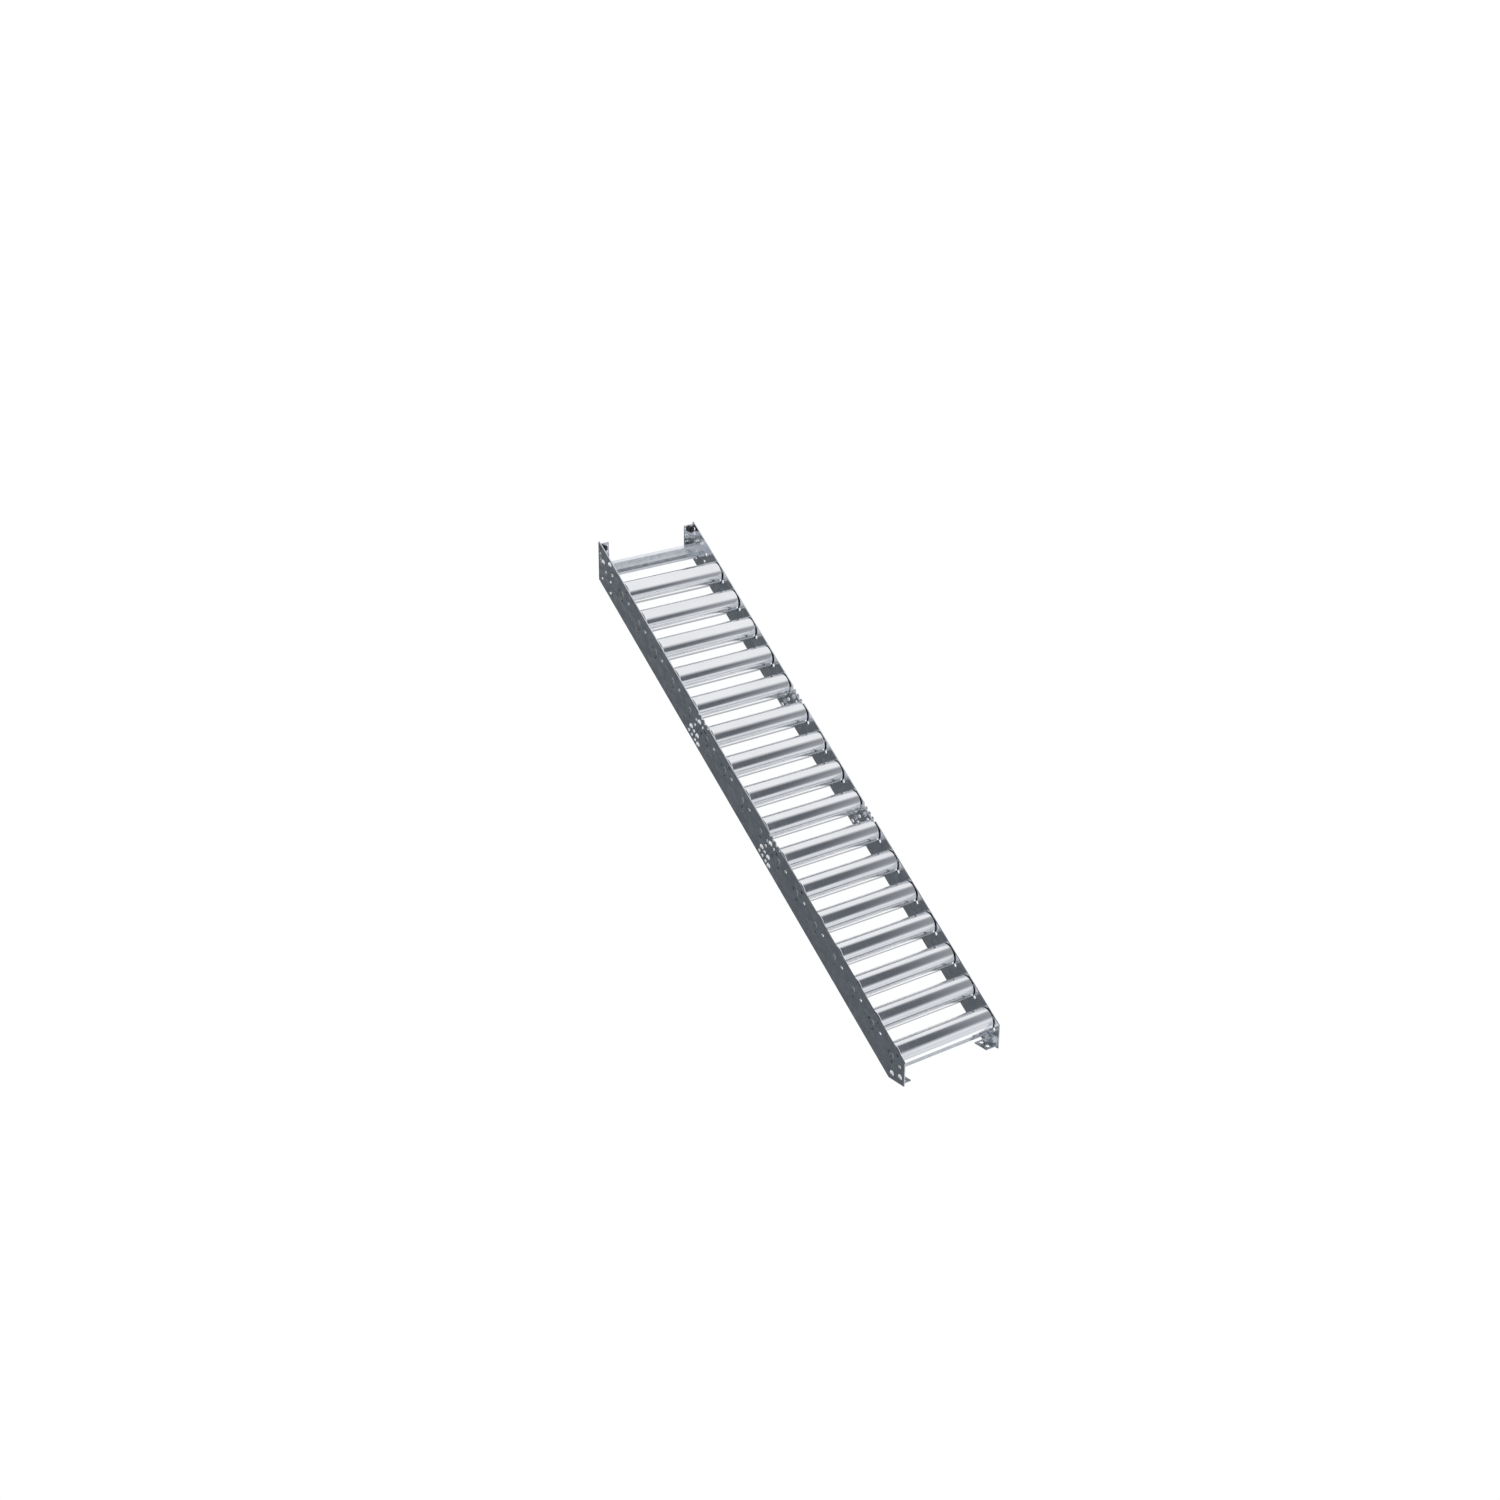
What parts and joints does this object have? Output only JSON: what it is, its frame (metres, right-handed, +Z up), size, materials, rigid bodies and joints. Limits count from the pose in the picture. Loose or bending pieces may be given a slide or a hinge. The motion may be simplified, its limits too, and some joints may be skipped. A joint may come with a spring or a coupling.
{
  "type": "gravity roller conveyor",
  "caption": "Narrow gravity roller conveyor: flat spliced side rails with free-turning steel rollers between them and ends cut for a downhill slope.",
  "frame": {"origin": "middle of the footprint, on the plane of the rails' lower edges", "axes": "+X down the conveyor from its top end to its discharge end, +Y to its right-hand rail, +Z up, normal to the bed of rollers"},
  "size_m": [1.309, 0.2496, 0.068],
  "materials": {
    "rail_steel": "galvanised sheet, satin with faint spangle",
    "roller_zinc": "bright zinc plated tube, close to a mirror",
    "bearing_steel": "pressed, zinc plated",
    "axle_steel": "cold drawn hexagon bar",
    "ball_steel": "polished bearing balls",
    "spring_steel": "oiled spring wire",
    "fastener_zinc": "zinc plated",
    "fastener_dark": "black oxide"
  },
  "bodies": {
    "frame": {"rail_left_upper": "rail_steel", "rail_left_middle": "rail_steel", "rail_left_lower": "rail_steel", "rail_right_upper": "rail_steel", "rail_right_middle": "rail_steel", "rail_right_lower": "rail_steel", "splice_plate_left_upper": "rail_steel", "splice_plate_left_lower": "rail_steel", "splice_plate_right_upper": "rail_steel", "splice_plate_right_lower": "rail_steel", "top_cross_member": "rail_steel", "bottom_cross_member": "rail_steel", "axles_upper": "axle_steel", "axles_middle": "axle_steel", "axles_lower": "axle_steel", "bearing_cones_upper": "bearing_steel", "bearing_cones_middle": "bearing_steel", "bearing_cones_lower": "bearing_steel", "bearing_balls_upper": "ball_steel", "bearing_balls_middle": "ball_steel", "bearing_balls_lower": "ball_steel", "axle_springs": "spring_steel", "splice_bolts": "fastener_zinc", "splice_nuts": "fastener_zinc", "frame_bolts": "fastener_zinc", "frame_nuts": "fastener_zinc", "end_bolts": "fastener_dark", "end_nuts": "fastener_dark"},
    "roller_01": {"roller_tube_01": "roller_zinc", "bearing_cups_01": "bearing_steel"},
    "roller_02": {"roller_tube_02": "roller_zinc", "bearing_cups_02": "bearing_steel"},
    "roller_03": {"roller_tube_03": "roller_zinc", "bearing_cups_03": "bearing_steel"},
    "roller_04": {"roller_tube_04": "roller_zinc", "bearing_cups_04": "bearing_steel"},
    "roller_05": {"roller_tube_05": "roller_zinc", "bearing_cups_05": "bearing_steel"},
    "roller_06": {"roller_tube_06": "roller_zinc", "bearing_cups_06": "bearing_steel"},
    "roller_07": {"roller_tube_07": "roller_zinc", "bearing_cups_07": "bearing_steel"},
    "roller_08": {"roller_tube_08": "roller_zinc", "bearing_cups_08": "bearing_steel"},
    "roller_09": {"roller_tube_09": "roller_zinc", "bearing_cups_09": "bearing_steel"},
    "roller_10": {"roller_tube_10": "roller_zinc", "bearing_cups_10": "bearing_steel"},
    "roller_11": {"roller_tube_11": "roller_zinc", "bearing_cups_11": "bearing_steel"},
    "roller_12": {"roller_tube_12": "roller_zinc", "bearing_cups_12": "bearing_steel"},
    "roller_13": {"roller_tube_13": "roller_zinc", "bearing_cups_13": "bearing_steel"},
    "roller_14": {"roller_tube_14": "roller_zinc", "bearing_cups_14": "bearing_steel"},
    "roller_15": {"roller_tube_15": "roller_zinc", "bearing_cups_15": "bearing_steel"},
    "roller_16": {"roller_tube_16": "roller_zinc", "bearing_cups_16": "bearing_steel"}
  },
  "joints": [
    {"name": "roller_01_spin", "type": "hinge", "parent": "frame", "child": "roller_01", "pos_m": [-0.53153, 0, 0.043], "axis": [0, 1, 0], "continuous": true},
    {"name": "roller_02_spin", "type": "hinge", "parent": "frame", "child": "roller_02", "pos_m": [-0.45653, 0, 0.043], "axis": [0, 1, 0], "continuous": true},
    {"name": "roller_03_spin", "type": "hinge", "parent": "frame", "child": "roller_03", "pos_m": [-0.38153, 0, 0.043], "axis": [0, 1, 0], "continuous": true},
    {"name": "roller_04_spin", "type": "hinge", "parent": "frame", "child": "roller_04", "pos_m": [-0.30653, 0, 0.043], "axis": [0, 1, 0], "continuous": true},
    {"name": "roller_05_spin", "type": "hinge", "parent": "frame", "child": "roller_05", "pos_m": [-0.23153, 0, 0.043], "axis": [0, 1, 0], "continuous": true},
    {"name": "roller_06_spin", "type": "hinge", "parent": "frame", "child": "roller_06", "pos_m": [-0.15653, 0, 0.043], "axis": [0, 1, 0], "continuous": true},
    {"name": "roller_07_spin", "type": "hinge", "parent": "frame", "child": "roller_07", "pos_m": [-0.08153, 0, 0.043], "axis": [0, 1, 0], "continuous": true},
    {"name": "roller_08_spin", "type": "hinge", "parent": "frame", "child": "roller_08", "pos_m": [-0.00653, 0, 0.043], "axis": [0, 1, 0], "continuous": true},
    {"name": "roller_09_spin", "type": "hinge", "parent": "frame", "child": "roller_09", "pos_m": [0.06847, 0, 0.043], "axis": [0, 1, 0], "continuous": true},
    {"name": "roller_10_spin", "type": "hinge", "parent": "frame", "child": "roller_10", "pos_m": [0.14347, 0, 0.043], "axis": [0, 1, 0], "continuous": true},
    {"name": "roller_11_spin", "type": "hinge", "parent": "frame", "child": "roller_11", "pos_m": [0.21847, 0, 0.043], "axis": [0, 1, 0], "continuous": true},
    {"name": "roller_12_spin", "type": "hinge", "parent": "frame", "child": "roller_12", "pos_m": [0.29347, 0, 0.043], "axis": [0, 1, 0], "continuous": true},
    {"name": "roller_13_spin", "type": "hinge", "parent": "frame", "child": "roller_13", "pos_m": [0.36847, 0, 0.043], "axis": [0, 1, 0], "continuous": true},
    {"name": "roller_14_spin", "type": "hinge", "parent": "frame", "child": "roller_14", "pos_m": [0.44347, 0, 0.043], "axis": [0, 1, 0], "continuous": true},
    {"name": "roller_15_spin", "type": "hinge", "parent": "frame", "child": "roller_15", "pos_m": [0.51847, 0, 0.043], "axis": [0, 1, 0], "continuous": true},
    {"name": "roller_16_spin", "type": "hinge", "parent": "frame", "child": "roller_16", "pos_m": [0.59347, 0, 0.043], "axis": [0, 1, 0], "continuous": true}
  ]
}
